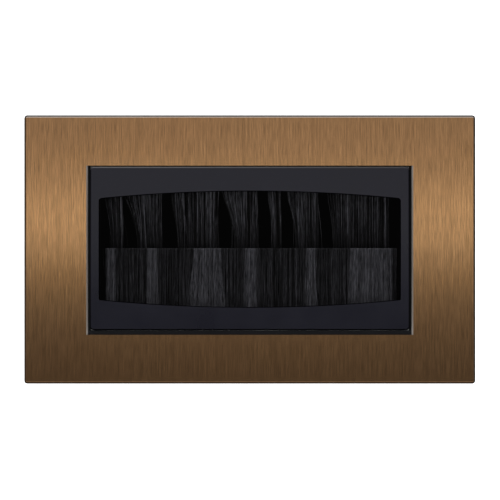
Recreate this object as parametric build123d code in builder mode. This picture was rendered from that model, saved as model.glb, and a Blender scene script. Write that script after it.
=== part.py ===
from build123d import *

import os
from math import sqrt

# Brush cable outlet on a two-gang screwless wall plate, in millimetres.
# +X runs along the long side, +Z is up, the front faces -Y and the wall's surface is the plane y = 0.
# The origin is midway between the two fixing screws, in the wall's surface.

# Fixing: the standard two-gang spacing, M3.5 screws
fixing_spacing = 120.6
screw_r = 1.75
screw_neck_r = 1.5
screw_tip_y = 22.0
screw_point = 0.6
head_r = 3.3
head_h = 1.5
recess_depth = 0.9
recess_arm_w = 0.9
recess_arm_l = 3.6

# Face plate: metal sheet with softened outer edges and a square-cornered window
plate_w, plate_h, plate_t = 147.0, 87.5, 1.4
plate_front_y = -5.0
plate_corner_r = 1.0
plate_edge_r = 0.85
window_w, window_h, window_z = 105.5, 55.1, -0.25
window_bevel = 0.45

# Trim frame: moulded tray bonded behind the sheet, its rear rim resting on the wall
trim_inset = 1.0
trim_corner_r = 1.2
trim_web_t = 1.0
trim_wall_t = 1.4
trim_window_w, trim_window_h, trim_window_z = 104.3, 53.7, 0.35
collar_t = 1.2
collar_back_y = -2.1
head_clear_r = 4.6
grip_pad_w = 8.0
grip_clearance = 0.08
prise_slot_w, prise_slot_h = 9.0, 1.3

# Mounting frame: pressed steel, its rim flat on the wall and its middle raised off it
frame_w, frame_h, frame_t = 141.0, 81.0, 1.0
frame_corner_r = 2.5
frame_rim_w = 3.5
frame_front_y = -1.9
slot_w, slot_l = 4.2, 9.0
aperture_gap = 0.25
lightening_r = 2.2
lightening_x, lightening_z = 60.3, 27.0

# Brush module: bezel with a crowned face and an arched opening, body through the frame
bezel_w, bezel_h, bezel_z = 103.9, 53.3, 0.35
bezel_front_y, bezel_edge_y = -6.1, -5.4
bezel_corner_r, bezel_edge_r, lip_edge_r = 1.2, 0.6, 0.15
face_back_y = -3.2
opening_w, opening_z = 98.0, 0.1
opening_mid, opening_end = 18.9, 16.45
opening_top_r, opening_bottom_r = 1.0, 0.4
body_w, body_h, body_back_y = 101.2, 50.7, 1.0
pocket_w, pocket_h = 98.8, 46.8
latch_x, latch_w, latch_out = 30.0, 8.0, 0.95
latch_gap = 0.1
peg_r, peg_clearance, peg_length = 0.55, 0.05, 2.0
peg_xs = (-44.0, -15.0, 15.0, 44.0)
peg_from_centre = 24.4

# Rear retainer: holds both strips in the body
retainer_w, retainer_h, retainer_t = 101.0, 50.5, 2.0
retainer_open_h = 39.2
retainer_corner_r = 1.5

# Brush strips: crimped channel, core wire, filaments folded over the wire
strip_y = -1.1
channel_inner, channel_outer = 19.2, 23.2
channel_t, channel_wall, channel_length = 4.0, 0.6, 98.4
brush_t = 2.4
brush_half_length = 48.9
root_outer = 22.5
wire_r, wire_from_centre, wire_clearance = 0.5, 21.7, 0.05
pivot_from_centre = 14.9
pivot_gap = 0.3
tip_from_centre = 0.15
group_gap = 0.3
upper_partings = (-39.3, -26.2, -7.5, 5.1, 12.8, 25.0, 37.0)
lower_partings = (-37.5, -25.5, -6.0, 9.5, 27.0, 38.0)

plate_back_y = plate_front_y + plate_t
web_back_y = plate_back_y + trim_web_t
frame_panel_back_y = frame_front_y + frame_t
UPPER, LOWER = 1, -1

os.makedirs("parts", exist_ok=True)


def facing(y, z=0.0, x=0.0):
    """Upright sketch plane at depth y that looks out of the wall, so extrusions run forward."""
    return Plane(origin=(x, y, z), x_dir=(1, 0, 0), z_dir=(0, -1, 0))


def across(side, x=0.0):
    """Sketch plane square to the strips: depth from the strips' plane, then distance from the
    opening's centre line towards the strip on that side."""
    return Plane(origin=(x, strip_y, opening_z), x_dir=(0, 1, 0), z_dir=(side, 0, 0))


def save(piece, name):
    piece.part.label = name
    export_step(piece.part, f"parts/{name}.step")


# ---------------------------------------------------------------- clip-on cover
with BuildPart() as face_plate:
    with BuildSketch(facing(plate_back_y)):
        RectangleRounded(plate_w, plate_h, plate_corner_r)
    extrude(amount=plate_t)
    fillet(face_plate.faces().sort_by(Axis.Y)[0].edges(), plate_edge_r)
    with BuildSketch(facing(plate_back_y, window_z)):
        Rectangle(window_w, window_h)
    extrude(amount=plate_t, mode=Mode.SUBTRACT)
    front = face_plate.faces().sort_by(Axis.Y)[0]
    # only the upright edges of the window are bevelled
    chamfer(front.inner_wires()[0].edges().filter_by(Axis.Z), window_bevel)
save(face_plate, "face_plate")

with BuildPart() as trim_frame:
    trim_w, trim_h = plate_w - 2 * trim_inset, plate_h - 2 * trim_inset
    inner_w, inner_h = trim_w - 2 * trim_wall_t, trim_h - 2 * trim_wall_t
    with BuildSketch(facing(0)):
        RectangleRounded(trim_w, trim_h, trim_corner_r)
        Rectangle(inner_w, inner_h, mode=Mode.SUBTRACT)
    extrude(amount=-plate_back_y)
    with BuildSketch(facing(web_back_y)):
        Rectangle(inner_w + trim_wall_t, inner_h + trim_wall_t)
        with Locations((-fixing_spacing / 2, 0), (fixing_spacing / 2, 0)):
            Circle(head_clear_r, mode=Mode.SUBTRACT)
    extrude(amount=trim_web_t)
    with BuildSketch(facing(collar_back_y, trim_window_z)):
        Rectangle(trim_window_w + 2 * collar_t, trim_window_h + 2 * collar_t)
    extrude(amount=collar_back_y - plate_back_y)
    with BuildSketch(facing(0, trim_window_z)):
        Rectangle(trim_window_w, trim_window_h)
    extrude(amount=-plate_back_y, mode=Mode.SUBTRACT)
    # grip pads that squeeze the mounting frame's edges
    side_reach = (inner_w - frame_w) / 2 - grip_clearance
    end_reach = (inner_h - frame_h) / 2 - grip_clearance
    with BuildSketch(facing(-0.3)):
        with Locations(*[(x, s * (inner_h - end_reach) / 2) for x in (-45, 0, 45) for s in (-1, 1)]):
            Rectangle(grip_pad_w, end_reach)
        with Locations(*[(s * (inner_w - side_reach) / 2, z) for z in (-22, 22) for s in (-1, 1)]):
            Rectangle(side_reach, grip_pad_w)
    extrude(amount=-0.3 - web_back_y)
    # slot in the lower rim for the blade that prises the cover off
    with BuildSketch(facing(0, -trim_h / 2)):
        Rectangle(prise_slot_w, 2 * trim_wall_t)
    extrude(amount=prise_slot_h, mode=Mode.SUBTRACT)
save(trim_frame, "trim_frame")

# ---------------------------------------------------------------- mounting frame and screws
with BuildPart() as mounting_frame:
    step_w, step_h = frame_w - 2 * frame_rim_w, frame_h - 2 * frame_rim_w
    with BuildSketch(facing(0)):
        RectangleRounded(frame_w, frame_h, frame_corner_r)
        Rectangle(step_w, step_h, mode=Mode.SUBTRACT)
    extrude(amount=frame_t)
    with BuildSketch(facing(0)):
        Rectangle(step_w + frame_t, step_h + frame_t)
        Rectangle(step_w - frame_t, step_h - frame_t, mode=Mode.SUBTRACT)
    extrude(amount=-frame_front_y)
    with BuildSketch(facing(frame_panel_back_y)):
        Rectangle(step_w, step_h)
        with Locations((-fixing_spacing / 2, 0), (fixing_spacing / 2, 0)):
            SlotOverall(slot_l, slot_w, rotation=90, mode=Mode.SUBTRACT)
        with GridLocations(2 * lightening_x, 2 * lightening_z, 2, 2):
            Circle(lightening_r, mode=Mode.SUBTRACT)
        with Locations((0, opening_z)):
            Rectangle(body_w + 2 * aperture_gap, body_h + 2 * aperture_gap, mode=Mode.SUBTRACT)
    extrude(amount=frame_t)
save(mounting_frame, "mounting_frame")

with BuildPart() as mounting_screws:
    for side in (-1, 1):
        x = side * fixing_spacing / 2
        with BuildSketch(facing(frame_front_y, x=x)):
            Circle(head_r)
        extrude(amount=head_h, taper=12)
        with BuildSketch(facing(0, x=x)):
            Circle(screw_neck_r)
        extrude(amount=-frame_front_y)
        with BuildSketch(facing(screw_tip_y, x=x)):
            Circle(screw_r)
        extrude(amount=screw_tip_y)
        with BuildSketch(facing(frame_front_y - head_h + recess_depth, x=x)):
            Rectangle(recess_arm_l, recess_arm_w)
            Rectangle(recess_arm_w, recess_arm_l)
        extrude(amount=recess_depth, mode=Mode.SUBTRACT)
    chamfer(mounting_screws.edges().group_by(Axis.Y)[-1], screw_point)
save(mounting_screws, "mounting_screws")

# ---------------------------------------------------------------- brush module
with BuildPart() as brush_bezel:
    half_h = bezel_h / 2
    with BuildSketch(Plane(origin=(0, 0, bezel_z), x_dir=(0, 1, 0), z_dir=(1, 0, 0))):
        with BuildLine():
            Polyline(
                (bezel_edge_y, -half_h), (frame_front_y, -half_h),
                (frame_front_y, half_h), (bezel_edge_y, half_h),
            )
            ThreePointArc((bezel_edge_y, half_h), (bezel_front_y, 0), (bezel_edge_y, -half_h))
        make_face()
    extrude(amount=bezel_w / 2, both=True)
    fillet(brush_bezel.edges().filter_by(Axis.Y), bezel_corner_r)
    fillet(brush_bezel.faces().sort_by(Axis.Y)[0].edges(), bezel_edge_r)
    with BuildSketch(facing(body_back_y, opening_z)):
        Rectangle(body_w, body_h)
    extrude(amount=body_back_y - frame_front_y)
    with BuildSketch(facing(body_back_y, opening_z)):
        Rectangle(pocket_w, pocket_h)
    extrude(amount=body_back_y - face_back_y, mode=Mode.SUBTRACT)
    # arched opening with softened lips
    with BuildSketch(facing(face_back_y, opening_z)) as opening:
        half_w = opening_w / 2
        with BuildLine():
            ThreePointArc((-half_w, opening_end), (0, opening_mid), (half_w, opening_end))
            Line((half_w, opening_end), (half_w, -opening_end))
            ThreePointArc((half_w, -opening_end), (0, -opening_mid), (-half_w, -opening_end))
            Line((-half_w, -opening_end), (-half_w, opening_end))
        make_face()
        fillet(opening.vertices().group_by(Axis.Y)[-1], opening_top_r)
        fillet(opening.vertices().group_by(Axis.Y)[0], opening_bottom_r)
    extrude(amount=face_back_y - bezel_front_y, mode=Mode.SUBTRACT)
    front = brush_bezel.faces().sort_by(Axis.Y)[0]
    fillet(front.inner_wires()[0].edges(), lip_edge_r)
    # latches behind the mounting frame
    latch_front_y = frame_panel_back_y + latch_gap
    for side in (UPPER, LOWER):
        for x in (-latch_x, latch_x):
            with BuildSketch(across(side, x)):
                with BuildLine(Location((-strip_y, 0))):
                    Polyline(
                        (latch_front_y, body_h / 2 - 0.2),
                        (latch_front_y, body_h / 2 + latch_out),
                        (latch_front_y + 0.5, body_h / 2 + latch_out),
                        (body_back_y, body_h / 2),
                        (body_back_y, body_h / 2 - 0.2),
                        close=True,
                    )
                make_face()
            extrude(amount=latch_w / 2, both=True)
    # blind holes for the retainer's pegs
    with BuildSketch(facing(body_back_y, opening_z)):
        with Locations(*[(x, s * peg_from_centre) for x in peg_xs for s in (-1, 1)]):
            Circle(peg_r + peg_clearance)
    extrude(amount=peg_length + 0.3, mode=Mode.SUBTRACT)
save(brush_bezel, "brush_bezel")

with BuildPart() as brush_retainer:
    with BuildSketch(facing(body_back_y + retainer_t, opening_z)):
        RectangleRounded(retainer_w, retainer_h, retainer_corner_r)
        RectangleRounded(pocket_w, retainer_open_h, retainer_corner_r, mode=Mode.SUBTRACT)
    extrude(amount=retainer_t)
    chamfer(brush_retainer.faces().sort_by(Axis.Y)[-1].edges(), 0.4)
    with BuildSketch(facing(body_back_y, opening_z)):
        with Locations(*[(x, s * peg_from_centre) for x in peg_xs for s in (-1, 1)]):
            Circle(peg_r)
    extrude(amount=peg_length)
save(brush_retainer, "brush_retainer")


# ---------------------------------------------------------------- brush strips
def build_strip(side, name):
    """The fixed pieces of one strip: channel, core wire and the roots of its filaments."""
    depth = channel_outer - channel_inner
    with BuildPart() as channel:
        with BuildSketch(across(side)):
            with Locations((0, channel_inner + depth / 2)):
                Rectangle(channel_t, depth)
            with Locations((0, channel_inner + (depth - channel_wall) / 2)):
                Rectangle(channel_t - 2 * channel_wall, depth - channel_wall, mode=Mode.SUBTRACT)
        extrude(amount=channel_length / 2, both=True)
    save(channel, f"{name}_strip_channel")

    with BuildPart() as wire:
        with BuildSketch(across(side)):
            with Locations((0, wire_from_centre)):
                Circle(wire_r)
        extrude(amount=brush_half_length, both=True)
    save(wire, f"{name}_core_wire")

    root_inner = pivot_from_centre + brush_t / 2 + pivot_gap
    with BuildPart() as roots:
        with BuildSketch(across(side)):
            with Locations((0, (root_inner + root_outer) / 2)):
                Rectangle(brush_t, root_outer - root_inner)
            with Locations((0, wire_from_centre)):
                Circle(wire_r + wire_clearance, mode=Mode.SUBTRACT)
        extrude(amount=brush_half_length, both=True)
    save(roots, f"{name}_bristle_roots")


def build_bristles(side, name, partings):
    """The free ends of one strip, a group of filaments between each two partings."""
    ends = (-brush_half_length, *partings, brush_half_length)
    for number, (left, right) in enumerate(zip(ends, ends[1:]), start=1):
        left += group_gap / 2 if number > 1 else 0
        right -= group_gap / 2 if number <= len(partings) else 0
        with BuildPart() as bristles:
            with BuildSketch(across(side, (left + right) / 2)):
                with Locations((0, (tip_from_centre + pivot_from_centre) / 2)):
                    Rectangle(brush_t, pivot_from_centre - tip_from_centre)
                with Locations((0, pivot_from_centre)):
                    Circle(brush_t / 2)
            extrude(amount=(right - left) / 2, both=True)
        save(bristles, f"{name}_bristles_{number}")


build_strip(UPPER, "upper")
build_strip(LOWER, "lower")
build_bristles(UPPER, "upper", upper_partings)
build_bristles(LOWER, "lower", lower_partings)
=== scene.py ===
import math

import bmesh
import bpy
import numpy as np
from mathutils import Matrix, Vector

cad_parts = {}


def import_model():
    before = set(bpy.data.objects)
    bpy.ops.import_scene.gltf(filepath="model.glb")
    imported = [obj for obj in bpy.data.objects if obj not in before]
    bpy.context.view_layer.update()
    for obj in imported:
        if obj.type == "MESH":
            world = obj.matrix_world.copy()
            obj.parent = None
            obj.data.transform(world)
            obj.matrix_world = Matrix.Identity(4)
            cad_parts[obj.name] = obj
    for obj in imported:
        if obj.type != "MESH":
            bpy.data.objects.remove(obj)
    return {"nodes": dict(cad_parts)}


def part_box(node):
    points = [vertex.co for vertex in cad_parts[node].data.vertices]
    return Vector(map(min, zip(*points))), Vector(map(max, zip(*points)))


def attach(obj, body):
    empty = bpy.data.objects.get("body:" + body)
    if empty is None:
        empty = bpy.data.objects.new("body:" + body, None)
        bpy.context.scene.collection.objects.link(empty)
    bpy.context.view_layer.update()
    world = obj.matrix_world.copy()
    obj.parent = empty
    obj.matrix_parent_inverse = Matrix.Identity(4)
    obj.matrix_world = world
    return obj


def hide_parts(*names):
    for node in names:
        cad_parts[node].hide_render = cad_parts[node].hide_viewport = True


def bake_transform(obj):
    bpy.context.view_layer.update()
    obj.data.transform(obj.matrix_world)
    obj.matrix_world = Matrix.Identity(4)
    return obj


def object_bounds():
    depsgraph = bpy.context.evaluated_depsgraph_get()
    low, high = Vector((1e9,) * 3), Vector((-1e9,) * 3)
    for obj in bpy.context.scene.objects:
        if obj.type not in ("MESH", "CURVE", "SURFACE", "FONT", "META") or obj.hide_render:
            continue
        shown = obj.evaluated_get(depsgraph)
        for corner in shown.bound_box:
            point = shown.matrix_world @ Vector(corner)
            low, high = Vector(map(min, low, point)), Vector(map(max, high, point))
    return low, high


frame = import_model()
CAD_LOW, CAD_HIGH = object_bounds()
MM = 0.001

# ---------------------------------------------------------------- places taken from the frame
PLATE_LOW, PLATE_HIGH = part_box("face_plate")
CHANNEL_LOW, CHANNEL_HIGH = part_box("upper_strip_channel")
LOWER_CHANNEL_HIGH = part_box("lower_strip_channel")[1]
STRIP_Y = (CHANNEL_LOW.y + CHANNEL_HIGH.y) / 2
CENTRE_Z = (CHANNEL_LOW.z + LOWER_CHANNEL_HIGH.z) / 2
MOUTH = CHANNEL_LOW.z - CENTRE_Z
WIRE_LOW, WIRE_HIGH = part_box("upper_core_wire")
WIRE_FROM_CENTRE = (WIRE_LOW.z + WIRE_HIGH.z) / 2 - CENTRE_Z
UPPER, LOWER = 1, -1
PANEL_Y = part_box("mounting_frame")[0].y

# Places on a piece at which its material changes, each over a short step
WINDOW_NEAR, WINDOW_FAR = 55 * MM, 58 * MM
# Height on the bezel above which faces turned up shine, and below which they are painted shade
TOP_EDGE_LOW, TOP_EDGE_HIGH = 22 * MM, 24 * MM
# The tray's ledge within these places is painted lighter, as painted light
TRAY_WINDOW_BOTTOM, WINDOW_SIDE = -26.5 * MM, 52.8 * MM
LEDGE_STEP = 0.1 * MM


# ---------------------------------------------------------------- node helpers
class Nodes:
    """A material's node tree, with one short call per node."""

    def __init__(self, name):
        self.material = bpy.data.materials.new(name)
        self.material.use_nodes = True
        self.tree = self.material.node_tree
        self.shader = self.tree.nodes["Principled BSDF"]
        self.coordinates = self.add("ShaderNodeTexCoord").outputs
        self.place = self.coordinates["Object"]

    def add(self, kind, **settings):
        node = self.tree.nodes.new(kind)
        for key, value in settings.items():
            setattr(node, key, value)
        return node

    def link(self, source, target):
        self.tree.links.new(source, target)

    def set(self, **values):
        """Plain values on the shader's own sockets."""
        for key, value in values.items():
            self.shader.inputs[key.replace("_", " ")].default_value = value

    def noise(self, scale, detail=3.0, rough=0.5, stretch=(1, 1, 1)):
        """Noise of that many cells per metre, squeezed or stretched along each axis."""
        mapping = self.add("ShaderNodeMapping")
        mapping.inputs["Scale"].default_value = stretch
        self.link(self.place, mapping.inputs["Vector"])
        noise = self.add("ShaderNodeTexNoise")
        noise.inputs["Scale"].default_value = scale
        noise.inputs["Detail"].default_value = detail
        noise.inputs["Roughness"].default_value = rough
        self.link(mapping.outputs["Vector"], noise.inputs["Vector"])
        return noise.outputs["Fac"]

    def ranged(self, source, low, high, from_low=0.3, from_high=0.7):
        """source, from one range of values to another."""
        node = self.add("ShaderNodeMapRange")
        node.inputs["From Min"].default_value = from_low
        node.inputs["From Max"].default_value = from_high
        node.inputs["To Min"].default_value = low
        node.inputs["To Max"].default_value = high
        self.link(source, node.inputs["Value"])
        return node.outputs["Result"]

    def blend(self, factor, a, b, mode="MIX"):
        """Two colours or colour outputs, mixed by a factor or its output."""
        node = self.add("ShaderNodeMix", data_type="RGBA", blend_type=mode)
        for value, socket in ((factor, 0), (a, 6), (b, 7)):
            if isinstance(value, bpy.types.NodeSocket):
                self.link(value, node.inputs[socket])
            elif socket == 0:
                node.inputs[socket].default_value = value
            else:
                node.inputs[socket].default_value = (*value, 1)
        return node.outputs[2]

    def maths(self, a, b, operation="ADD"):
        """Two numbers or number outputs, put through one operation."""
        node = self.add("ShaderNodeMath", operation=operation)
        for value, socket in ((a, 0), (b, 1)):
            if isinstance(value, bpy.types.NodeSocket):
                self.link(value, node.inputs[socket])
            else:
                node.inputs[socket].default_value = value
        return node.outputs["Value"]

    def size(self, source, axis):
        """How far a vector reaches along an axis, either way."""
        return self.maths(self.part(source, axis), 0, "ABSOLUTE")

    def part(self, source, axis):
        """One axis of a vector."""
        node = self.add("ShaderNodeSeparateXYZ")
        self.link(source, node.inputs[0])
        return node.outputs[axis]

    def facing_front(self, low, high):
        """1 where the surface faces the front or back squarely, 0 where it turns away."""
        return self.ranged(self.size(self.coordinates["Normal"], "Y"), 0, 1, low, high)

    def mix(self, factor, a, b):
        """Two numbers or number outputs, mixed by a factor's output."""
        node = self.add("ShaderNodeMix", data_type="FLOAT")
        for value, socket in ((factor, 0), (a, 2), (b, 3)):
            if isinstance(value, bpy.types.NodeSocket):
                self.link(value, node.inputs[socket])
            else:
                node.inputs[socket].default_value = value
        return node.outputs[0]

    def into(self, name, output):
        """An output, linked to the shader's input of that name."""
        self.link(output, self.shader.inputs[name])

    def colour(self, output):
        self.link(output, self.shader.inputs["Base Color"])

    def roughness(self, output):
        self.link(output, self.shader.inputs["Roughness"])

    def bump(self, output, height, strength=1.0):
        """Relief of that height in metres."""
        node = self.add("ShaderNodeBump")
        node.inputs["Distance"].default_value = height
        node.inputs["Strength"].default_value = strength
        self.link(output, node.inputs["Height"])
        self.link(node.outputs["Normal"], self.shader.inputs["Normal"])


# ---------------------------------------------------------------- materials
def brushed_bronze():
    """Vertically grained face, a painted highlight on the arris along the top, outermost edges
    painted near black as painted dark reflections, and bare metal where the window is cut at its
    sides."""
    m = Nodes("brushed_bronze")
    tangent = m.add("ShaderNodeTangent", direction_type="RADIAL", axis="Z")
    m.into("Tangent", tangent.outputs["Tangent"])
    grain = m.noise(3300, 2.0, 0.6, stretch=(1, 1, 0.022))
    hair = m.noise(5600, 2.0, 0.6, stretch=(1, 1, 0.03))
    streak = m.noise(420, 3.0, 0.55, stretch=(1, 1, 0.03))
    cloud = m.noise(35, 2.0, 0.5)
    tone = m.blend(m.ranged(streak, 0, 1), (0.303, 0.168, 0.0775), (0.312, 0.174, 0.080))
    tone = m.blend(m.ranged(grain, 0, 1, 0.35, 0.65), tone, (0.427, 0.238, 0.110))
    tone = m.blend(m.ranged(hair, 0, 0.8, 0.42, 0.72), tone, (0.145, 0.080, 0.0365))
    tone = m.blend(m.ranged(cloud, 0, 0.2), tone, (0.32, 0.1645, 0.0735))
    normal = m.coordinates["Normal"]
    face = m.facing_front(0.985, 0.998)
    rim = m.facing_front(0.90, 0.97)
    # Painted highlight: facets of the edge that face up take a near-white colour along the top arris
    painted_highlight_mask = m.ranged(m.part(normal, "Z"), 0, 1, 0.08, 0.16)
    cut = m.maths(m.ranged(m.size(m.place, "X"), 1, 0, WINDOW_NEAR, WINDOW_FAR),
                  m.ranged(m.size(normal, "X"), 0, 1, 0.2, 0.4), "MULTIPLY")
    side = m.ranged(m.size(normal, "Y"), 1, 0, 0.08, 0.15)
    bare = m.maths(rim, side, "MAXIMUM")
    arris = m.blend(painted_highlight_mask, (0.25, 0.145, 0.075), (0.78, 0.71, 0.64))
    # Painted dark reflection: the outer facets of the rounded edge are painted near black, and where
    # bare is 0 they also lose their shine
    edge = m.blend(rim, (0.02, 0.014, 0.010), arris)
    metal = m.blend(m.maths(face, side, "MAXIMUM"), edge, tone)
    m.colour(m.blend(cut, metal, (0.50, 0.46, 0.42)))
    m.into("Metallic", m.mix(cut, bare, 0.25))
    m.into("Specular IOR Level", m.mix(m.maths(bare, cut, "MAXIMUM"), 0.0, 0.5))
    edge_roughness = m.mix(cut, m.mix(rim, 0.45, 0.2), 0.5)
    m.roughness(m.mix(face, edge_roughness, 0.227))
    m.into("Anisotropic", m.mix(face, 0.0, 0.85))
    m.bump(m.maths(grain, hair), 1.0e-6)
    return m.material


def satin_black():
    """Satin where it faces forward, shiny along the top edge, and dull and painted darker, as
    painted shade, on the opening's lips, where it faces down and on its hidden walls."""
    m = Nodes("satin_black_plastic")
    pores = m.noise(5200, 2.0, 0.6)
    haze = m.noise(90, 3.0, 0.5)
    normal_z = m.part(m.coordinates["Normal"], "Z")
    rising = m.ranged(normal_z, 0, 1, 0.1, 0.3)
    high = m.ranged(m.part(m.place, "Z"), 0, 1, TOP_EDGE_LOW, TOP_EDGE_HIGH)
    crest = m.maths(rising, high, "MULTIPLY")
    # Painted shade: the lower lip, faces turned down and faces turned aside are painted darker and
    # lose their shine
    lower_lip_painted_shade = m.maths(rising, high, "SUBTRACT")
    upward = m.ranged(normal_z, 0, 1, -0.35, -0.08)
    free_of_painted_shade = m.maths(m.facing_front(0.72, 0.94), upward, "MULTIPLY")
    free_of_painted_shade = m.mix(lower_lip_painted_shade, free_of_painted_shade, 0.0)
    shade = m.blend(m.ranged(haze, 0, 1), (0.0036, 0.0036, 0.0115), (0.0054, 0.0054, 0.0145))
    m.colour(m.blend(free_of_painted_shade, (0.002, 0.002, 0.0025), shade))
    m.into("Specular IOR Level", m.mix(crest, m.mix(free_of_painted_shade, 0.0, 0.35), 1.0))
    m.roughness(m.ranged(haze, 0.27, 0.33))
    m.bump(pores, 6e-6, 0.6)
    return m.material


def dull_black():
    """Moulding behind the strips, without shine on its side faces."""
    m = Nodes("dull_black_plastic")
    pores = m.noise(4200, 2.0, 0.6)
    haze = m.noise(110, 3.0, 0.5)
    m.colour(m.blend(m.ranged(haze, 0, 1), (0.005, 0.005, 0.006), (0.009, 0.009, 0.010)))
    m.into("Specular IOR Level", m.mix(m.facing_front(0.35, 0.6), 0.0, 0.25))
    m.roughness(m.ranged(haze, 0.55, 0.68))
    m.bump(pores, 8e-6, 0.6)
    return m.material


def tray_black():
    """Moulding behind the plate. Its ledge under the window is painted lighter, as painted light
    from above.
    """
    m = Nodes("tray_black_plastic")
    pores = m.noise(3800, 2.0, 0.6)
    haze = m.noise(140, 3.0, 0.5)
    front = m.facing_front(0.35, 0.6)
    below = m.ranged(m.part(m.place, "Z"), 1, 0,
                     TRAY_WINDOW_BOTTOM, TRAY_WINDOW_BOTTOM + LEDGE_STEP)
    between = m.ranged(m.size(m.place, "X"), 1, 0, WINDOW_SIDE, WINDOW_SIDE + LEDGE_STEP)
    # Painted light: the front of the ledge under the window takes a lighter colour
    ledge = m.maths(below, between, "MULTIPLY")
    shade = m.blend(m.ranged(haze, 0, 1), (0.005, 0.005, 0.006), (0.008, 0.008, 0.009))
    m.colour(m.blend(m.maths(front, ledge, "MULTIPLY"), shade, (0.021, 0.022, 0.026)))
    m.into("Specular IOR Level", m.mix(front, 0.0, 0.15))
    m.roughness(m.ranged(haze, 0.48, 0.6))
    m.bump(pores, 1e-5, 0.6)
    return m.material


def galvanised_steel():
    m = Nodes("galvanised_steel")
    m.set(Metallic=1.0)
    cells = m.add("ShaderNodeTexVoronoi")
    cells.inputs["Scale"].default_value = 260
    m.link(m.place, cells.inputs["Vector"])
    spangle = m.add("ShaderNodeSeparateColor")
    m.link(cells.outputs["Color"], spangle.inputs["Color"])
    fine = m.noise(1500, 4.0, 0.6)
    m.colour(m.blend(m.ranged(fine, 0, 1), (0.42, 0.43, 0.44), (0.56, 0.57, 0.58)))
    m.roughness(m.ranged(spangle.outputs["Red"], 0.3, 0.5, 0, 1))
    m.bump(fine, 6e-6, 0.5)
    return m.material


def zinc_screw():
    m = Nodes("zinc_screw")
    m.set(Metallic=1.0)
    fine = m.noise(2200, 3.0, 0.6)
    m.colour(m.blend(m.ranged(fine, 0, 1), (0.52, 0.52, 0.50), (0.66, 0.65, 0.62)))
    m.roughness(m.ranged(fine, 0.24, 0.4))
    m.bump(fine, 4e-6, 0.5)
    return m.material


def mill_aluminium():
    m = Nodes("mill_aluminium")
    m.set(Metallic=1.0)
    drawn = m.noise(2600, 3.0, 0.6, stretch=(0.02, 1, 1))
    m.colour(m.blend(m.ranged(drawn, 0, 1), (0.50, 0.50, 0.51), (0.64, 0.64, 0.65)))
    m.roughness(m.ranged(drawn, 0.32, 0.5))
    m.bump(drawn, 5e-6, 0.5)
    return m.material


def drawn_wire():
    m = Nodes("drawn_wire")
    m.set(Metallic=1.0)
    drawn = m.noise(4000, 3.0, 0.6, stretch=(0.02, 1, 1))
    m.colour(m.blend(m.ranged(drawn, 0, 1), (0.40, 0.40, 0.40), (0.52, 0.52, 0.52)))
    m.roughness(m.ranged(drawn, 0.3, 0.45))
    return m.material


def nylon():
    """Filaments, each as light and as shiny as its tone, which carries painted sheen and shade,
    with short painted glints along it.
    """
    m = Nodes("black_nylon_filament")
    # The tone attribute carries painted sheen on clumps that catch the light and painted shade
    # towards the upper tips
    tone = m.add("ShaderNodeAttribute", attribute_name="tone").outputs["Fac"]
    # Painted glints: noise along the strands that lightens and darkens the tone
    glint = m.noise(2600, 2.0, 0.6, stretch=(1, 1, 0.11))
    tone = m.maths(tone, m.ranged(glint, 0.2, 1.8), "MULTIPLY")
    # Random streaks along the strands, pulled towards a flat dark grey
    grey_streaks = m.noise(900, 3.0, 0.6, stretch=(1, 1, 0.15))
    base = m.blend(tone, (0.002, 0.002, 0.0022), (0.15, 0.15, 0.176))
    m.colour(m.blend(m.ranged(grey_streaks, 0, 0.25), base, (0.016, 0.015, 0.015)))
    m.into("Specular IOR Level", m.ranged(tone, 0.12, 0.6, 0, 0.6))
    m.roughness(m.ranged(tone, 0.6, 0.38, 0, 1))
    return m.material


BRONZE, SATIN, DULL, TRAY = brushed_bronze(), satin_black(), dull_black(), tray_black()
STEEL, ZINC, ALUMINIUM, WIRE, NYLON = (
    galvanised_steel(), zinc_screw(), mill_aluminium(), drawn_wire(), nylon())


def paint(node, material):
    slots = frame["nodes"][node].data.materials
    slots.clear()
    slots.append(material)


paint("face_plate", BRONZE)
paint("trim_frame", TRAY)
paint("mounting_frame", STEEL)
paint("brush_bezel", SATIN)
paint("brush_retainer", DULL)
for strip in ("upper", "lower"):
    paint(f"{strip}_strip_channel", ALUMINIUM)
    paint(f"{strip}_core_wire", WIRE)

# ---------------------------------------------------------------- screws
THREAD_R, THREAD_CORE_R, NECK_R, THREAD_PITCH = 1.75 * MM, 1.42 * MM, 1.5 * MM, 0.6 * MM
HEAD_R, HEAD_RIM, RECESS_DEPTH = 3.25 * MM, 0.55 * MM, 0.9 * MM
ARM_HALF_W, ARM_HALF_L = 0.45 * MM, 1.8 * MM
SCREW_SIDES, RINGS_PER_TURN = 24, 8
# Radius at which the recess's floor and the screw's point are closed
AXIS_R = 0.02 * MM
HEAD_ROUNDING, EDGE_BREAK = 0.12 * MM, 0.06 * MM
# Shares of the recess's outline at its floor, under its edge and just outside its edge
RECESS_FLOOR, RECESS_UNDER, RECESS_OUTSIDE = 0.62, 0.94, 1.04
FLANK_STEEPNESS, ROOT_WIDTH = 2.2, 0.5
THREAD_END = 0.02 * MM
POINT_R = 0.72 * THREAD_CORE_R


def cross_outline(angle):
    """Distance from the axis to the edge of the cross recess."""
    a = abs((angle + math.pi / 4) % (math.pi / 2) - math.pi / 4)
    if math.tan(a) * ARM_HALF_L < ARM_HALF_W:
        return ARM_HALF_L / math.cos(a)
    return ARM_HALF_W / math.sin(a)


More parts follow.
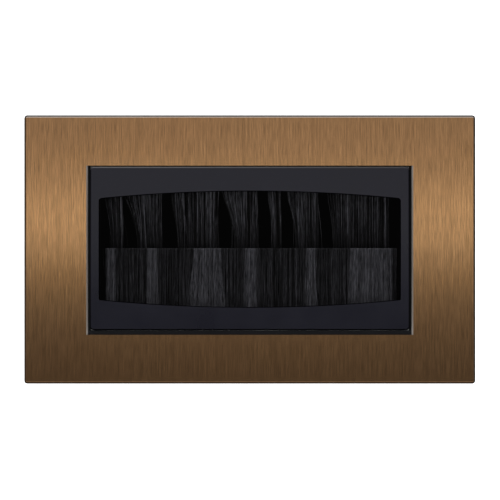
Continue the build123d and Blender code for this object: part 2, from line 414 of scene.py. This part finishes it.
def screw_rings(angles, low, high):
    """Rings of (radii, depths) from the middle of the recess to the point."""
    head_y = low.y
    seat_y = PANEL_Y
    cross = np.array([cross_outline(a) for a in angles])
    one = np.ones(len(angles))

    def dome(r):
        return head_y + HEAD_RIM * (r / HEAD_R) ** 2

    rings = [(AXIS_R * one, (head_y + RECESS_DEPTH) * one),
             (cross * RECESS_FLOOR, (head_y + RECESS_DEPTH) * one),
             (cross * RECESS_UNDER, dome(cross) + EDGE_BREAK),
             (cross * RECESS_OUTSIDE, dome(cross * RECESS_OUTSIDE))]
    for share in (0.35, 0.7, 1.0):
        r = cross * RECESS_OUTSIDE * (1 - share) + (HEAD_R - HEAD_ROUNDING) * share
        rings.append((r, dome(r)))
    rings += [(HEAD_R * one, (dome(HEAD_R) + HEAD_ROUNDING) * one),
              (HEAD_R * one, (seat_y - EDGE_BREAK) * one),
              ((HEAD_R - EDGE_BREAK) * one, seat_y * one),
              (NECK_R * one, seat_y * one), (NECK_R * one, 0.0 * one)]
    turns = high.y / THREAD_PITCH
    for y in np.linspace(THREAD_END, high.y - THREAD_END, int(turns * RINGS_PER_TURN)):
        phase = (y / THREAD_PITCH - angles / (2 * math.pi)) % 1
        crest = np.clip(FLANK_STEEPNESS * (1 - 2 * np.abs(phase - 0.5)) - ROOT_WIDTH, 0, 1)
        thread = THREAD_CORE_R + (THREAD_R - THREAD_CORE_R) * crest
        rings.append((np.minimum(thread, POINT_R + (high.y - y)), y * one))
    rings.append((AXIS_R * one, high.y * one))
    return rings


def screws():
    """Both fixing screws, with a cross recess in a domed head and a helical thread."""
    low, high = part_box("mounting_screws")
    centre_x = high.x - HEAD_R
    corners = [math.atan2(ARM_HALF_W, ARM_HALF_L), math.pi / 4, math.atan2(ARM_HALF_L, ARM_HALF_W)]
    even = [2 * math.pi * i / SCREW_SIDES for i in range(SCREW_SIDES)]
    angles = np.array(sorted({round(a, 4) for a in even + [
        c + q * math.pi / 2 for q in range(4) for c in corners]}))
    vertices, faces = [], []
    for side in (-1, 1):
        start = len(vertices)
        rings = screw_rings(angles, low, high)
        for radii, depths in rings:
            for r, a, y in zip(radii, angles, depths):
                vertices.append((side * centre_x + r * math.cos(a), y, r * math.sin(a)))
        n = len(angles)
        for ring in range(len(rings) - 1):
            for i in range(n):
                a, b = start + ring * n + i, start + ring * n + (i + 1) % n
                faces.append((a, b, b + n, a + n))
        faces.append(tuple(start + i for i in reversed(range(n))))
        faces.append(tuple(start + (len(rings) - 1) * n + i for i in range(n)))
    thing = add_object("threaded_screws", vertices, faces, ZINC)
    edges = bmesh.new()
    edges.from_mesh(thing.data)
    bmesh.ops.recalc_face_normals(edges, faces=edges.faces)
    for edge in edges.edges:
        edge.smooth = len(edge.link_faces) < 2 or edge.calc_face_angle(0) < math.radians(40)
    edges.to_mesh(thing.data)
    edges.free()
    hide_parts("mounting_screws")
    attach(thing, "base")


# ---------------------------------------------------------------- filaments
FILAMENT_R = 0.08 * MM
FILAMENTS_PER_MM = 46
# Shares of a filament's length at which it is bent, close together at the tip
STATIONS = np.array([0, 0.1, 0.22, 0.36, 0.52, 0.68, 0.84, 0.985, 1.0])
ROOT_BACK = 1.6 * MM
STRIP_HALF_T = 1.0 * MM
BUNDLE_W = 0.5 * MM
STRAY_SHARE = 0.025
# How far filaments, and whole bundles, spread about their even places
MEMBER_SPREAD, BUNDLE_SPREAD = 0.25, 0.2
TIP_SPREAD, STRAY_SPREAD, END_SPREAD = 0.16 * MM, 1.1 * MM, 0.05 * MM
BUNDLE_DEPTH_SPREAD, BUNDLE_BOW = 0.28 * MM, 0.16 * MM
TIP_T_SHARE = 0.85
WANDER = 0.1 * MM
# Shares of the free length at which the sideways lean starts and ends
BUNDLE_LEAN_START, FILAMENT_LEAN_START, LEAN_END = 0.16, 0.08, 0.95
SIDE_LEAN_POWER, DEPTH_LEAN_POWER = 1.6, 1.3
TIP_R_SHARE = 0.82
THINNEST, THICKEST = 0.85, 1.15
rng = np.random.default_rng(20)


def add_object(name, vertices, faces, material):
    mesh = bpy.data.meshes.new(name)
    mesh.from_pydata(vertices, [], faces)
    mesh.materials.append(material)
    mesh.polygons.foreach_set("use_smooth", [True] * len(mesh.polygons))
    mesh.validate()
    thing = bpy.data.objects.new(name, mesh)
    bpy.context.scene.collection.objects.link(thing)
    return thing


def tubes(name, paths, radii, tones, material, sides=3):
    """One mesh of closed tubes. paths is (tubes, points, 3), radii and tones are (tubes, points)."""
    count, points, _ = paths.shape
    along = np.gradient(paths, axis=1)
    along /= np.linalg.norm(along, axis=2, keepdims=True)
    first = np.cross(along, np.array([0.0, 1.0, 0.0]))
    first /= np.maximum(np.linalg.norm(first, axis=2, keepdims=True), 1e-9)
    second = np.cross(along, first)
    turn = rng.uniform(0, 2 * math.pi, count)[:, None, None]
    rings = []
    for side in range(sides):
        angle = turn + 2 * math.pi * side / sides
        rings.append(paths + radii[:, :, None] * (np.cos(angle) * first + np.sin(angle) * second))
    vertices = np.stack(rings, axis=2).reshape(-1, 3)
    faces = []
    for tube in range(count):
        start = tube * points * sides
        for p in range(points - 1):
            for s in range(sides):
                a, b = start + p * sides + s, start + p * sides + (s + 1) % sides
                faces.append((a, b, b + sides, a + sides))
        faces.append(tuple(start + s for s in reversed(range(sides))))
        faces.append(tuple(start + (points - 1) * sides + s for s in range(sides)))
    thing = add_object(name, vertices.tolist(), faces, material)
    # Per-point tone, which carries painted sheen and painted shade as well as random tone
    layer = thing.data.attributes.new("tone", "FLOAT", "POINT")
    layer.data.foreach_set("value", np.repeat(tones.ravel(), sides).astype(np.float32))
    return thing


def ease(t):
    """0 to 1, slow at both ends."""
    return t * t * (3 - 2 * t)


def tuft(strip, number, side, span, root_of, tip_y, tip_z, pull, tone_and_sheen_at, tone_spread, painted_tip_shade):
    """One group of filaments whose tips fill span, gathered in bundles, bending between the
    base and its own body. root_of gives the place of a filament's root from that of its tip,
    pull how far the bundles gather, tone_and_sheen_at the tone at a tip's place, which carries
    painted sheen, tone_spread how bundles and single filaments vary, and fading how much darker the
    tips are painted than the roots, as painted light near the roots and painted shade towards the
    tips."""
    node = f"{strip}_bristles_{number}"
    low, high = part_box(node)
    count = int(FILAMENTS_PER_MM * (high.x - low.x) / MM)
    share = (np.arange(count) + rng.uniform(0, 1, count)) / count
    bundles = max(2, round((high.x - low.x) / BUNDLE_W))
    bundle = (share * bundles + rng.normal(0, MEMBER_SPREAD, count)).astype(int)
    bundle = np.clip(bundle, 0, bundles - 1)
    bundle_share = (bundle + 0.5 + rng.normal(0, BUNDLE_SPREAD, bundles)[bundle]) / bundles
    stray = rng.uniform(0, 1, count) < STRAY_SHARE

    even = span[0] + (span[1] - span[0]) * share
    centre = span[0] + (span[1] - span[0]) * bundle_share
    roots_x = root_of(even)
    tips_x = even + (centre - even) * pull
    tips_x += rng.normal(0, TIP_SPREAD, count) + stray * rng.normal(0, STRAY_SPREAD, count)
    tips_x = np.clip(tips_x, min(span[0], low.x), max(span[1], high.x))
    roots_y = rng.uniform(-1, 1, count) * STRIP_HALF_T
    bundle_y = rng.normal(0, BUNDLE_DEPTH_SPREAD, bundles)[bundle]
    tips_y = roots_y * TIP_T_SHARE + tip_y(tips_x) + bundle_y
    ends = tip_z + rng.normal(0, END_SPREAD, count)

    t = STATIONS[None, :]
    root_z = MOUTH + ROOT_BACK
    free = np.clip((t * (root_z - ends[:, None]) - ROOT_BACK) / (MOUTH - ends[:, None]), 0, 1)
    start = rng.uniform(0, BUNDLE_LEAN_START, bundles)[bundle][:, None]
    start = start + rng.uniform(0, FILAMENT_LEAN_START, (count, 1))
    settled = np.clip((free - start) / (LEAN_END - start), 0, 1)
    x = roots_x[:, None] + (tips_x - roots_x)[:, None] * (1 - (1 - settled) ** SIDE_LEAN_POWER)
    y = roots_y[:, None] + (tips_y - roots_y)[:, None] * free ** DEPTH_LEAN_POWER
    phase = rng.uniform(0, 2 * math.pi, (4, count, 1))
    x += WANDER * np.sin(phase[0] + 4 * t) * free
    y += WANDER * np.sin(phase[1] + 5 * t) * free
    bow = rng.normal(0, BUNDLE_BOW, bundles)[bundle][:, None]
    x += bow * np.sin(math.pi * free)
    z = root_z + (ends[:, None] - root_z) * t
    paths = np.stack([x, STRIP_Y + y, CENTRE_Z + side * z], axis=2)

    taper = np.interp(STATIONS, [0, 1], [1.0, TIP_R_SHARE])[None, :]
    radii = taper * FILAMENT_R * rng.uniform(THINNEST, THICKEST, count)[:, None]
    # Tones: a clump's painted sheen from tone_and_sheen_at, random tone per bundle and filament,
    # then fading's painted light near the roots and painted shade towards the tips
    tones = (tone_and_sheen_at(tips_x) + rng.normal(0, tone_spread[0], bundles)[bundle]
             + rng.normal(0, tone_spread[1], count))
    tones = np.clip(tones, 0, 1)[:, None] * (1 + painted_tip_shade * (0.5 - free))
    thing = tubes(f"{strip}_filaments_{number}", paths, radii, tones, NYLON)
    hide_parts(node)
    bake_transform(thing)


def count_nodes(prefix):
    """How many CAD nodes have names that start so."""
    return sum(1 for name in frame["nodes"] if name.startswith(prefix))


# Upper strip: hangs behind, parted into clumps whose right edges hang straight
PARTING = 2.5 * MM
LEAN_REACH = 1.6 * MM
# How far each clump's left edge leans in at the roots; none where the clumps touch
LEANS = {1: 2.4, 2: 5.2, 3: 2.1, 4: 4.2, 5: 1.9, 6: 2.9, 7: 2.1, 8: 0.0}
LEFT_END_GAP, RIGHT_END_GAP = 3.6 * MM, 3.3 * MM
UPPER_TIP_Y, UPPER_TIP_Z = 0.6 * MM, -0.7 * MM
# Least and most of that lean that a filament takes
LEAST_LEAN, MOST_LEAN = 0.25, 1.1
# How light each clump is painted: painted sheen, lighter where the clump catches more light
UPPER_TONES_AND_SHEEN = {1: 0.11, 2: 0.17, 3: 0.12, 4: 0.14, 5: 0.1, 6: 0.085, 7: 0.085, 8: 0.055}


def upper_strip():
    """The parted clumps behind."""
    total = count_nodes("upper_bristles_")
    for number in range(1, total + 1):
        low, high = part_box(f"upper_bristles_{number}")
        lean = LEANS[number] * MM
        left = low.x + (LEFT_END_GAP if number == 1 else PARTING if lean else 0)
        right = high.x - (
            RIGHT_END_GAP if number == total else PARTING if LEANS[number + 1] else 0)

        def leaning(x):
            """Places at the roots: filaments near the left edge lean in, less further along."""
            share = rng.uniform(LEAST_LEAN, MOST_LEAN, len(x))
            return x - lean * share * np.exp((left - x) / LEAN_REACH)

        # Each clump's tone is painted sheen, and fading paints its tips darker, as painted shade
        tuft(
            "upper", number, UPPER, (left, right), root_of=leaning,
            tip_y=lambda x: np.full_like(x, UPPER_TIP_Y), tip_z=UPPER_TIP_Z, pull=0.55,
            tone_and_sheen_at=lambda x: np.full_like(x, UPPER_TONES_AND_SHEEN[number]),
            tone_spread=(0.18, 0.2), painted_tip_shade=1.7,
        )


# Lower strip: stands in front, cut straight, with clumps combed forward
LOWER_TIP_Z = -0.25 * MM
LOWER_LEFT_GAP, LOWER_RIGHT_GAP = 1.7 * MM, 0.7 * MM
# How far neighbouring groups' tips reach past their CAD solids, so that no gap shows
LOWER_OVERLAP = 0.15 * MM
LOWER_TIP_Y, COMBED_FORWARD = -0.5 * MM, -0.9 * MM
ROOT_END_GAP = 0.6 * MM
# Clumps combed forward are painted lighter, a painted sheen where they catch the light
LOWER_TONE, FORWARD_PAINTED_SHEEN = 0.12, 0.48
# Left and right edge of each clump at its tips, and how much wider it is at its roots
FORWARD_CLUMPS = (
    (-46.8, -43.9, 0.3), (-33.5, -30.3, 0.35), (-18.4, -9.4, 0.38),
    (-1.5, 1.9, 0.3), (18.7, 21.7, 0.4), (32.9, 46.4, 0.08),
)


def forward_share(x):
    """1 in a clump combed forward and 0 between them, in soft steps."""
    share = np.zeros_like(x)
    for left, right, _ in FORWARD_CLUMPS:
        inside = np.minimum(x / MM - left, right - x / MM)
        share = np.maximum(share, ease(np.clip(inside + 0.5, 0, 1)))
    return share


def flared(x):
    """Places at the roots: clumps combed forward are wider there."""
    roots = x.copy()
    for left, right, flare in FORWARD_CLUMPS:
        inside = (x > left * MM) & (x < right * MM)
        roots += flare * np.where(inside, x - (left + right) / 2 * MM, 0)
    return np.clip(roots, CHANNEL_LOW.x + ROOT_END_GAP, CHANNEL_HIGH.x - ROOT_END_GAP)


def lower_strip():
    """The unbroken row in front."""
    total = count_nodes("lower_bristles_")
    for number in range(1, total + 1):
        low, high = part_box(f"lower_bristles_{number}")
        left = low.x + (LOWER_LEFT_GAP if number == 1 else -LOWER_OVERLAP)
        right = high.x - (LOWER_RIGHT_GAP if number == total else -LOWER_OVERLAP)
        tuft(
            "lower", number, LOWER, (left, right), root_of=flared,
            tip_y=lambda x: LOWER_TIP_Y + COMBED_FORWARD * forward_share(x),
            tip_z=LOWER_TIP_Z, pull=0.15,
            tone_and_sheen_at=lambda x: LOWER_TONE + (FORWARD_PAINTED_SHEEN - LOWER_TONE) * forward_share(x),
            tone_spread=(0.03, 0.08), painted_tip_shade=0.0,
        )


# The filaments' fixed ends: loops over the core wire, with legs down to the channel's mouth
ROOT_LOOPS = 300
LOOP_HALF_T, LOOP_RISE = 0.72 * MM, 0.6
LOOP_R, LOOP_SPREAD = 0.16 * MM, 0.03 * MM
LEG_GAP = 0.3 * MM


def root_pack(strip, side):
    """The filaments' fixed ends, folded over the core wire in the channel."""
    low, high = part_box(f"{strip}_core_wire")
    count = ROOT_LOOPS
    centres = np.linspace(low.x, high.x, count + 2)[1:-1]
    leg = MOUTH + LEG_GAP
    angles = np.linspace(0, math.pi, 7)
    y = LOOP_HALF_T * np.concatenate([[1, 1], np.cos(angles), [-1, -1]])
    z = np.concatenate([
        [leg, (leg + WIRE_FROM_CENTRE) / 2],
        WIRE_FROM_CENTRE + LOOP_HALF_T * LOOP_RISE * np.sin(angles),
        [(leg + WIRE_FROM_CENTRE) / 2, leg],
    ])
    paths = np.stack([
        np.broadcast_to(centres[:, None], (count, len(y))),
        np.broadcast_to(STRIP_Y + y, (count, len(y))),
        np.broadcast_to(CENTRE_Z + side * z, (count, len(z))),
    ], axis=2).copy()
    paths[:, :, 0] += rng.normal(0, LOOP_SPREAD, (count, 1))
    radii = np.full((count, len(y)), LOOP_R)
    tones = rng.uniform(0.1, 0.4, (count, 1)) * np.ones(len(y))
    thing = tubes(f"{strip}_root_loops", paths, radii, tones, NYLON, sides=5)
    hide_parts(f"{strip}_bristle_roots")
    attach(thing, "base")


screws()
upper_strip()
lower_strip()
root_pack("upper", UPPER)
root_pack("lower", LOWER)


# ---------------------------------------------------------------- stage
def plane(name, centre, width, height, facing, material):
    """A flat sheet of the set, centred there, facing that way."""
    mesh = bpy.data.meshes.new(name)
    w, h = width / 2, height / 2
    mesh.from_pydata([(-w, -h, 0), (w, -h, 0), (w, h, 0), (-w, h, 0)], [], [(0, 1, 2, 3)])
    mesh.materials.append(material)
    thing = bpy.data.objects.new(name, mesh)
    bpy.context.scene.collection.objects.link(thing)
    thing.location = centre
    thing.rotation_mode = "QUATERNION"
    thing.rotation_quaternion = Vector(facing).to_track_quat("Z", "Y")
    return thing


def plain(name, colour, glow=0.0):
    """A matt material of the set, which may glow."""
    m = Nodes(name)
    m.set(Base_Color=(*colour, 1), Roughness=0.95, Specular_IOR_Level=0.0)
    if glow:
        m.set(Emission_Color=(*colour, 1), Emission_Strength=glow)
    return m.material


FLOOR_Z = CAD_LOW.z - 0.45
UPWARDS, FORWARDS = (0, 0, 1), (0, -1, 0)
plane("floor", (0, 0.3, FLOOR_Z), 3.6, 3.4, UPWARDS,
      plain("pale_floor", (0.8, 0.8, 0.8), 0.25))
plane("backdrop", (0, 2.0, -0.02), 1.15, 0.98, FORWARDS,
      plain("white_backdrop", (1, 1, 1), 1.0))
# Stands in for the unlit hollow of the wall, seen only between the filaments
plane("dark_card", (0, 0.6, -0.019), 0.32, 0.162, FORWARDS,
      plain("dark_card", (0.002, 0.002, 0.002)))


def softbox(name, centre, width, height, radiance, target=(0, 0, 0), colour=(1, 1, 1)):
    """A rectangular area light of that radiance, aimed at the target."""
    data = bpy.data.lights.new(name, "AREA")
    data.shape = "RECTANGLE"
    data.size, data.size_y = width, height
    data.energy = radiance * math.pi * width * height
    data.color = colour
    thing = bpy.data.objects.new(name, data)
    bpy.context.scene.collection.objects.link(thing)
    thing.location = centre
    thing.rotation_mode = "QUATERNION"
    thing.rotation_quaternion = (Vector(target) - Vector(centre)).to_track_quat("-Z", "Y")
    return thing


softbox("key", (0, -1.6, 0.74), 2.0, 1.36, 0.355, colour=(1, 0.955, 0.94))
softbox("strip", (0, -1.6, 0.042), 2.0, 0.08, 1.98, colour=(0.985, 1, 0.93))
softbox("overhead", (-0.35, -0.6, 1.3), 0.9, 0.9, 1.9)
softbox("rear_fill", (0.5, 1.3, 1.1), 0.8, 0.8, 0.8)


def world():
    """Pale above and beside; darker low down in front and behind, where the room is unlit."""
    made = bpy.data.worlds.new("studio")
    bpy.context.scene.world = made
    made.use_nodes = True
    tree = made.node_tree
    back = tree.nodes["Background"]
    way = tree.nodes.new("ShaderNodeTexCoord")
    parts = tree.nodes.new("ShaderNodeSeparateXYZ")
    tree.links.new(way.outputs["Generated"], parts.inputs[0])

    def ramp(source, start, end):
        node = tree.nodes.new("ShaderNodeMapRange")
        node.interpolation_type = "SMOOTHSTEP"
        node.inputs["From Min"].default_value = start
        node.inputs["From Max"].default_value = end
        tree.links.new(source, node.inputs["Value"])
        return node.outputs["Result"]

    def joined(a, b, operation):
        node = tree.nodes.new("ShaderNodeMath")
        node.operation = operation
        tree.links.new(a, node.inputs[0])
        tree.links.new(b, node.inputs[1])
        return node.outputs[0]

    front = ramp(parts.outputs["Y"], -0.55, -0.8)
    low = ramp(parts.outputs["Z"], 0.06, -0.12)
    behind = ramp(parts.outputs["Y"], 0.35, 0.6)
    unlit = joined(joined(front, low, "MULTIPLY"), behind, "MAXIMUM")
    mix = tree.nodes.new("ShaderNodeMix")
    mix.data_type = "RGBA"
    tree.links.new(unlit, mix.inputs[0])
    mix.inputs[6].default_value = (0.42, 0.42, 0.43, 1)
    mix.inputs[7].default_value = (0.125, 0.125, 0.13, 1)
    tree.links.new(mix.outputs[2], back.inputs["Color"])


world()

# ---------------------------------------------------------------- camera
# Share of the view's width that the plate fills
PLATE_SHARE = 0.9035
CAMERA_DISTANCE = 0.45
CAMERA_X, CAMERA_Z = 0.08 * MM, -0.17 * MM
camera = bpy.data.cameras.new("camera")
view_width = (PLATE_HIGH.x - PLATE_LOW.x) / PLATE_SHARE
camera.lens = camera.sensor_width * CAMERA_DISTANCE / view_width
camera.clip_start = 0.01
camera_object = bpy.data.objects.new("camera", camera)
bpy.context.scene.collection.objects.link(camera_object)
camera_object.location = (CAMERA_X, PLATE_LOW.y - CAMERA_DISTANCE, CAMERA_Z)
camera_object.rotation_euler = (math.pi / 2, 0, 0)
bpy.context.scene.camera = camera_object
bpy.context.scene.view_settings.view_transform = "Standard"
